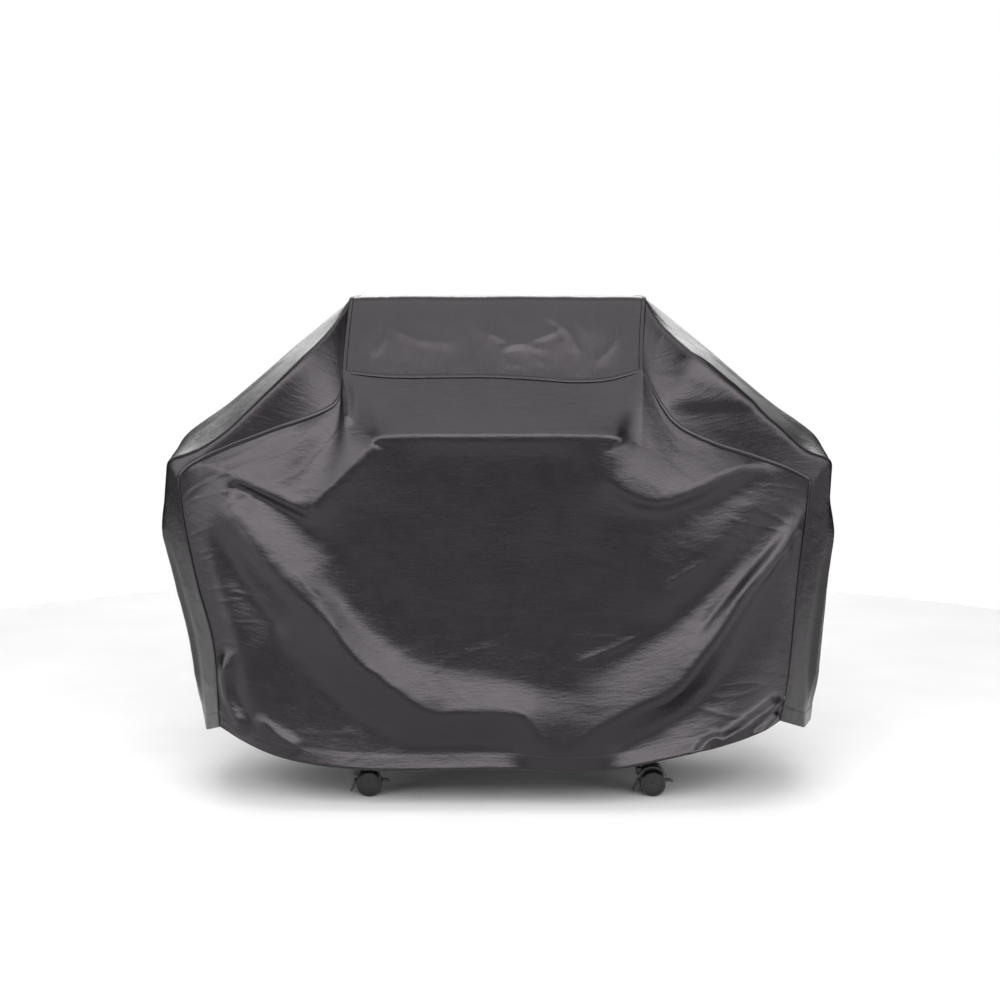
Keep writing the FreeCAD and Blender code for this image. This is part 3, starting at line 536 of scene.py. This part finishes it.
def stretched(grid, creases, hollows):
    """The y of a sheet pulled tight over lines: crisp at the creases, soft at the hollows."""
    shape = grid.shape[:2]
    near = np.zeros(shape)
    flat = grid[..., [0, 2]].reshape(-1, 2)
    lines = []
    for line in creases + hollows:
        away, y, share = nearest(flat, refine(line, 5))
        fade = step(np.minimum(share, 1 - share) / .12)
        if line in creases:
            fade = step(.35 + fade)
            near = np.maximum(near, (step(fade) * np.exp(-(away / CRISP_REACH) ** 2)).reshape(shape))
        lines.append((away.reshape(shape), y.reshape(shape), fade.reshape(shape)))
    y = grid[..., 1]
    start = None
    for skip in SKIPS:
        rows = np.unique(np.r_[np.arange(0, y.shape[0], skip), y.shape[0] - 1])
        cols = np.unique(np.r_[np.arange(0, y.shape[1], skip), y.shape[1] - 1])
        now = y[np.ix_(rows, cols)].copy()
        if start is not None:
            was_rows, was_cols, was = start
            across = np.stack([np.interp(cols, was_cols, r) for r in was])
            guess = np.stack([np.interp(rows, was_rows, c) for c in across.T]).T
            now[1:-1, 1:-1] = guess[1:-1, 1:-1]
        inner = np.ix_(rows[1:-1], cols[1:-1])
        p, h = np.zeros(now[1:-1, 1:-1].shape), np.zeros(now[1:-1, 1:-1].shape)
        for away, height, fade in lines:
            reach = HOLD_REACH + HOLD_REACH_PER_SKIP * skip
            w = HOLD * fade[inner] * np.exp(-(away[inner] / reach) ** 2)
            p += w
            h += w * height[inner]
        for _ in range(SWEEPS):
            mean = .25 * (now[:-2, 1:-1] + now[2:, 1:-1] + now[1:-1, :-2] + now[1:-1, 2:])
            now[1:-1, 1:-1] = (mean + h) / (1 + p)
        start = rows, cols, now
    tight = start[2]
    soft = blur(tight, SOFT_PASSES)
    return soft + near * (blur(tight, CRISP_PASSES) - soft)


def behind(points):
    """The same run of a seam at the back, where the cover hangs closer to the grill."""
    lid_front, lid_back, share = -.205, .212, .45
    x, y, z = np.array(points, float).T
    return np.stack([x, lid_back - share * (y - lid_front), z], -1)


def gusset(front, back, rows, lid_end):
    """A side: rows from the front seam over the ridge, the crown and the back ridge to the back seam."""
    points = np.stack([front, *np.moveaxis(rows, 1, 0), back], 1)
    spread = np.linspace(0, 1, GUSSET_CELLS + 1)
    across_passes, up_passes, bend_from = 7, 14, .72
    grid = blur(np.stack([along(row, spread) for row in points]), across_passes, (1,))
    grid[:, 1:-1] = blur(grid, up_passes, (0,))[:, 1:-1]
    share = np.clip((np.arange(len(grid)) - SIDE_CELLS) / SLOPE_CELLS, 0, 1)
    offset = lid_end - grid[-1]
    return grid + step((share - bend_from) / .28)[:, None, None] * offset


def side_rows(sign, crown, ridge):
    """The ridge, crown and back ridge of a side for each row, from the hem up."""
    slope = np.array(CROWN_SLOPE) * [sign, 1]
    line = np.concatenate([curve(crown, SIDE_CELLS), curve(slope, SLOPE_CELLS)[1:]])
    fold = np.concatenate([curve(ridge[0], SIDE_CELLS), curve(ridge[1], SLOPE_CELLS)[1:]])
    crown_y, rear_share, rear_least, rear_most = .01, .93, .145, .228
    top = np.stack([line[:, 0], np.full(len(line), crown_y), line[:, 1]], -1)
    rear = fold * [1, -rear_share, 1]
    rear[:, 1] = np.clip(rear[:, 1], rear_least, rear_most)
    return np.stack([fold, top, rear], 1)


def panels():
    """The five panels as grids of points, all hung on the grill."""
    side = {}
    for name, low, high in (("left", SIDE_L, SLOPE_L), ("right", SIDE_R, SLOPE_R)):
        side[name] = np.concatenate([curve(low, SIDE_CELLS), curve(high, SLOPE_CELLS)[1:]])
    lid = curve(LID_SEAM, LID_CELLS)
    made = {}
    rims = {}
    for name, place in (("front", np.array), ("back", behind)):
        left, right, top = place(side["left"]), place(side["right"]), place(lid)
        over = np.concatenate([left[SIDE_CELLS:], top[1:-1], right[:SIDE_CELLS - 1:-1]])
        hem = curve(HEM_F, COLUMNS)
        if name == "back":
            back_y = np.minimum(.243 + .30 * (-hem[:, 1] - .275), .29)
            hem = np.stack([hem[:, 0], back_y, hem[:, 2]], -1)
            hem[0], hem[-1] = left[0], right[0]
        plain = coons(left[:SIDE_CELLS + 1], right[:SIDE_CELLS + 1], hem, over)
        even_passes, seam_rows = 160, 45
        inside = step(np.arange(SIDE_CELLS, -1, -1) / seam_rows)[:, None, None]
        made[name] = plain + inside * (blur(plain, even_passes) - plain)
        rims[name] = left, right, top
    made["front"][..., 1] = stretched(made["front"], CREASES, HOLLOWS)
    made["back"][..., 1] = stretched(made["back"], BACK_CREASES, BACK_HOLLOWS)
    section = curve(LID_SECTION, GUSSET_CELLS, smooth=False)
    section = blur(section[:, None], 6, (0,))[:, 0]
    low = np.linspace(0, 1, GUSSET_CELLS + 1)[None, :, None]
    front, back = rims["front"][2], rims["back"][2]
    body = np.zeros((LID_CELLS + 1, GUSSET_CELLS + 1, 3))
    across = np.linspace(-1, 1, LID_CELLS + 1)[:, None]
    eased = step(np.abs(np.linspace(-1, 1, GUSSET_CELLS + 1)))
    body[..., 0] = LID_HALF * across * (1 - eased) + front[:, None, 0] * eased
    body[..., 1:] = section[None]
    reach, end_drop = .25, .004
    body += ((1 - step(low / reach)) * (front - body[:, 0])[:, None]
             + (1 - step((1 - low) / reach)) * (back - body[:, -1])[:, None])
    body[..., 2] -= end_drop * np.abs(across) ** 14
    for name, sign, crown, ridge, k, end in (("left", -1, CROWN_L, RIDGE_L, 0, 0),
                                             ("right", 1, CROWN_R, RIDGE_R, 1, -1)):
        rows = side_rows(sign, crown, ridge)
        made[name] = gusset(rims["front"][k], rims["back"][k], rows, body[end])
    made["top"] = body
    return made


# ---------------------------------------------------------------- the cover's pieces
# The hem: how deep it is folded up and how far behind, where its stitches run, the groove that they pull and
# the thicker band below them.
HEM_DEEP, HEM_GAP, HEM_STITCH_IN, THREAD_UP = .038, .0028, .004, .0002
GROOVE_WIDE, GROOVE_DEEP, BAND_EDGE, BAND_HIGH = .0035, .0009, .004, .0008
MIDDLE_HEIGHT = .62
# How high the crumple stands: soft waves, sharp little creases, fine unevenness, and puckers along the seams.
SOFT, SHARP, FINE, PUCKER = .0013, .0006, .00022, .0006
# A flat seam's profile: metres in from the seam's edge, and metres above the cloth.
SEAM_ACROSS = (.0004, -.0008, -.0014, -.0002, .0045, .0077, .0088, .0092)
SEAM_LIFT = (.0002, .0006, .0020, .0029, .0021, .0019, .0010, -.0004)
SEAM_STITCHES, SEAM_CELLS = (.0022, .0068), 12


def normals(grid):
    """Unit normals of a grid of points."""
    n = np.cross(np.gradient(grid, axis=1), np.gradient(grid, axis=0))
    return n / np.maximum(np.linalg.norm(n, axis=-1, keepdims=True), 1e-12)


def outward(grid):
    """Unit normals of a panel, pointing away from the grill."""
    n = normals(grid)
    middle = grid - np.array([0, 0, MIDDLE_HEIGHT])
    return n if (n * middle).sum() > 0 else -n


def lattice(shape, cells, seed, stretch=(1, 1)):
    """Smooth noise over a grid, between about -1 and 1."""
    rng = np.random.default_rng(seed)
    rows = max(2, int(cells * stretch[0]))
    cols = max(2, int(cells * stretch[1]))
    coarse = rng.uniform(-1, 1, (rows + 3, cols + 3))
    r, c = np.linspace(1, rows + 1, shape[0]), np.linspace(1, cols + 1, shape[1])

    def weights(t):
        i = np.floor(t).astype(int)
        f = t - i
        return i, np.stack([(1 - f) ** 3, 3 * f ** 3 - 6 * f ** 2 + 4,
                            -3 * f ** 3 + 3 * f ** 2 + 3 * f + 1, f ** 3]) / 6

    i, wi = weights(r)
    j, wj = weights(c)
    out = np.zeros(shape)
    for a in range(4):
        for b in range(4):
            near = coarse[np.clip(i - 1 + a, 0, rows + 2)][:, np.clip(j - 1 + b, 0, cols + 2)]
            out += wi[a][:, None] * wj[b][None] * near
    return out * 1.8


def edge_distance(grid):
    """For each point of a grid, metres along the cloth to the first and last row and column."""
    def run(axis):
        g = np.moveaxis(grid, axis, 0)
        steps = np.linalg.norm(np.diff(g, axis=0), axis=-1)
        d = np.concatenate([np.zeros((1,) + g.shape[1:2]), np.cumsum(steps, 0)])
        return np.moveaxis(d, 0, axis)

    up, across = run(0), run(1)
    return up, up[-1:] - up, across, across[:, -1:] - across


def crumple(name, grid, seed):
    """Small folds and puckers, which die out at the seams."""
    n = outward(grid)
    low, high, left, right = edge_distance(grid)
    gap = np.minimum(np.minimum(high, left), right)
    if name == "top":
        gap = np.minimum(np.minimum(low, high), np.minimum(left, right))
    fade = step(gap / .03)
    shape = grid.shape[:2]
    soft = lattice(shape, 9, seed) * SOFT
    crease = np.abs(lattice(shape, 17, seed + 1, (1.6, .8)))
    sharp = np.exp(-(crease / .16) ** 2) * step(.5 + .9 * lattice(shape, 5, seed + 2)) * SHARP
    fine = lattice(shape, 46, seed + 3, (1.5, .8)) * FINE
    pucker = lattice(shape, 120, seed + 4) * PUCKER * np.exp(-gap / .012) * (1 - np.exp(-gap / .004))
    calm = 1.0
    if name == "front":
        middle = np.exp(-(grid[..., 0] / .34) ** 4) * step((grid[..., 2] - .40) / .25) * (grid[..., 2] < .985)
        calm = 1 - .75 * middle
    return grid + n * (calm * fade * (soft + sharp + fine) + pucker)[..., None]


def mesh_of(name, grid, uv, material):
    """A smooth mesh of a grid of points, with its place on the flat cloth as UV."""
    rows, cols = grid.shape[:2]
    at = np.arange(rows * cols).reshape(rows, cols)
    quads = np.stack([at[:-1, :-1], at[:-1, 1:], at[1:, 1:], at[1:, :-1]], -1).reshape(-1, 4)
    mesh = bpy.data.meshes.new(name)
    mesh.vertices.add(rows * cols)
    mesh.vertices.foreach_set("co", grid.astype(np.float32).ravel())
    mesh.loops.add(quads.size)
    mesh.loops.foreach_set("vertex_index", quads.astype(np.int32).ravel())
    mesh.polygons.add(len(quads))
    mesh.polygons.foreach_set("loop_start", np.arange(0, quads.size, 4, dtype=np.int32))
    mesh.update(calc_edges=True)
    layer = mesh.uv_layers.new(name="flat")
    layer.data.foreach_set("uv", uv.reshape(-1, 2)[quads.ravel()].astype(np.float32).ravel())
    mesh.polygons.foreach_set("use_smooth", np.ones(len(quads), bool))
    mesh.materials.append(material)
    mesh.validate()
    made = bpy.data.objects.new(name, mesh)
    bpy.context.scene.collection.objects.link(made)
    return made


def hemmed(grid, n, uv):
    """The panel with its bottom edge folded in and up behind it."""
    low = edge_distance(grid)[0]
    deep = int(np.searchsorted(low[:, low.shape[1] // 2], HEM_DEEP))
    inside = grid[:deep + 1] - n[:deep + 1] * HEM_GAP
    roll = grid[:1] - n[:1] * HEM_GAP / 2 - np.array([0, 0, HEM_GAP * .6])
    lip = grid[:1] - n[:1] * HEM_GAP * .15 - np.array([0, 0, HEM_GAP * .35])
    back = grid[:1] - n[:1] * HEM_GAP * .85 - np.array([0, 0, HEM_GAP * .35])
    folded = np.concatenate([inside[::-1], back, roll, lip, grid])
    flat = np.concatenate([uv[:deep + 1][::-1] * [1, -1], uv[:1], uv[:1], uv[:1], uv])
    return folded, flat


def merge(name, parts, material):
    """One mesh of several (vertices, faces) forms."""
    verts, faces, count = [], [], 0
    for v, f in parts:
        verts.append(v)
        faces.append(f + count)
        count += len(v)
    mesh = bpy.data.meshes.new(name)
    mesh.from_pydata(np.concatenate(verts).tolist(), [], np.concatenate(faces).tolist())
    mesh.polygons.foreach_set("use_smooth", np.ones(len(mesh.polygons), bool))
    mesh.materials.append(material)
    mesh.validate()
    made = bpy.data.objects.new(name, mesh)
    bpy.context.scene.collection.objects.link(made)
    return made


def stitches(line, up, pitch=.0066, length=.0044, radius=.00055):
    """A row of sewn stitches along a line of points lying on cloth with the given normals."""
    run = np.r_[0, np.cumsum(np.linalg.norm(np.diff(line, axis=0), axis=1))]
    centres = np.arange(pitch, run[-1] - pitch / 2, pitch)
    sides = 5
    ring = np.linspace(0, 2 * math.pi, sides + 1)[:-1]
    offsets = (-.5, -.34, 0, .34, .5)
    widths = (.15, .85, 1.0, .85, .15)
    parts = []

    def pick(values, s):
        return np.stack([np.interp(s, run, values[:, k]) for k in range(3)], -1)

    middle = pick(line, centres)
    ahead = pick(line, centres + length / 2) - pick(line, centres - length / 2)
    ahead /= np.linalg.norm(ahead, axis=1, keepdims=True)
    n = pick(up, centres)
    n -= (n * ahead).sum(1, keepdims=True) * ahead
    n /= np.linalg.norm(n, axis=1, keepdims=True)
    b = np.cross(ahead, n)
    rings = []
    for offset, width in zip(offsets, widths):
        sink = radius * (.55 - 1.6 * (abs(offset) * 2) ** 4)
        for a in ring:
            rings.append(middle + ahead * offset * length + b * math.cos(a) * radius * width
                         + n * (math.sin(a) * radius * width + sink))
    verts = np.stack(rings, 1)
    faces = []
    for k in range(len(offsets) - 1):
        for a in range(sides):
            c = (a + 1) % sides
            faces.append((k * sides + a, k * sides + c, (k + 1) * sides + c, (k + 1) * sides + a))
    count = len(offsets) * sides
    base = np.arange(len(centres))[:, None, None] * count
    parts.append((verts.reshape(-1, 3), (np.array(faces)[None] + base).reshape(-1, 4)))
    return parts


def felled(rows, n):
    """A raised flat seam over the first columns of a grid: its (vertices, faces) and its stitch lines."""
    steps = np.linalg.norm(np.diff(rows, axis=1), axis=2)
    run = np.concatenate([np.zeros((len(rows), 1)), np.cumsum(steps, 1)], 1)
    edge = .004

    def at(values, s):
        return np.stack([[np.interp(s, r, v[:, k]) for k in range(3)] for r, v in zip(run, values)])

    sheet = []
    for s, h in zip(SEAM_ACROSS, SEAM_LIFT):
        up = at(n, s)
        over = (at(rows, 0) - at(rows, edge)) * (max(-s, 0) / edge)
        sheet.append(at(rows, max(s, 0)) + up * h + over)
    grid = np.stack(sheet, 1)
    index = np.arange(grid.shape[0] * grid.shape[1]).reshape(grid.shape[:2])
    faces = np.stack([index[:-1, :-1], index[:-1, 1:], index[1:, 1:], index[1:, :-1]], -1).reshape(-1, 4)
    lines = [(at(rows, s) + at(n, s) * .0022, at(n, s)) for s in SEAM_STITCHES]
    return (grid.reshape(-1, 3), faces), lines


def seams(made, up, cloth, sewing):
    """The flat seams on the sides, along the front and back panels, and across the lid's ends."""
    extras = {name: [] for name in made}
    runs = {}
    first, last = slice(SEAM_CELLS), slice(None, -SEAM_CELLS - 1, -1)
    for name in ("left", "right", "top"):
        grid, n = made[name], up[name]
        runs[name, "front"] = felled(grid[:, first], n[:, first])
        runs[name, "back"] = felled(grid[:, last], n[:, last])
    top, n_top = made["top"], up["top"]
    runs["top", "left"] = felled(top[first].transpose(1, 0, 2), n_top[first].transpose(1, 0, 2))
    runs["top", "right"] = felled(top[last].transpose(1, 0, 2), n_top[last].transpose(1, 0, 2))
    groups = {"front": [("left", "front"), ("top", "front"), ("right", "front")],
              "back": [("left", "back"), ("top", "back"), ("right", "back")],
              "top": [("top", "left"), ("top", "right")]}
    for name, keys in groups.items():
        fold = merge(f"cover_{name}_seam_fold", [runs[k][0] for k in keys], cloth)
        sewn_parts = [p for k in keys for line, n in runs[k][1] for p in stitches(line, n)]
        sewn = merge(f"cover_{name}_seam_thread", sewn_parts, sewing)
        for piece in (fold, sewn):
            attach(piece, "cover")
            extras[name].append(piece)
    return extras


def cover():
    """The five cloth panels with their hems, seams and stitches, in place of the rigid ones."""
    cloth, sewing = fabric(), thread()
    made = panels()
    pleats = {"front": (FRONT_PLEATS, (0, 2)), "back": (BACK_PLEATS, (0, 2)), "top": (TOP_PLEATS, (0, 2)),
              "left": (LEFT_PLEATS, (1, 2)), "right": (RIGHT_PLEATS, (1, 2))}
    for name, (lines, axes) in pleats.items():
        made[name] = pleated(made[name], outward(made[name]), lines, axes)
    made = {name: crumple(name, grid, 11 + 7 * k) for k, (name, grid) in enumerate(made.items())}
    up = {name: outward(grid) for name, grid in made.items()}
    label = {"front": "cover_front_panel", "back": "cover_back_panel", "top": "cover_top_panel",
             "left": "cover_left_side_panel", "right": "cover_right_side_panel"}
    extras = seams(made, up, cloth, sewing)
    for name, grid in made.items():
        low, _, left, _ = edge_distance(grid)
        uv = np.stack([left, low], -1)
        n = up[name]
        if name != "top":
            rows = low[:, low.shape[1] // 2]
            at = np.searchsorted(rows, HEM_DEEP - HEM_STITCH_IN)
            lifted = n[at]
            groove = np.exp(-((low - rows[at]) / GROOVE_WIDE) ** 2) * GROOVE_DEEP
            band = (1 - step((low - rows[at]) / BAND_EDGE)) * BAND_HIGH
            grid = grid + n * (band - groove)[..., None]
            line = grid[at] + lifted * THREAD_UP
            sewn = merge(f"{label[name][:-6]}_hem_thread", stitches(line, lifted), sewing)
            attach(sewn, "cover")
            extras[name].append(sewn)
            grid, uv = hemmed(grid, n, uv)
        panel = mesh_of(label[name] + "_cloth", grid, uv, cloth)
        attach(panel, "cover")
        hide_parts(label[name])


camera()
studio()
paint_frame()
cover()
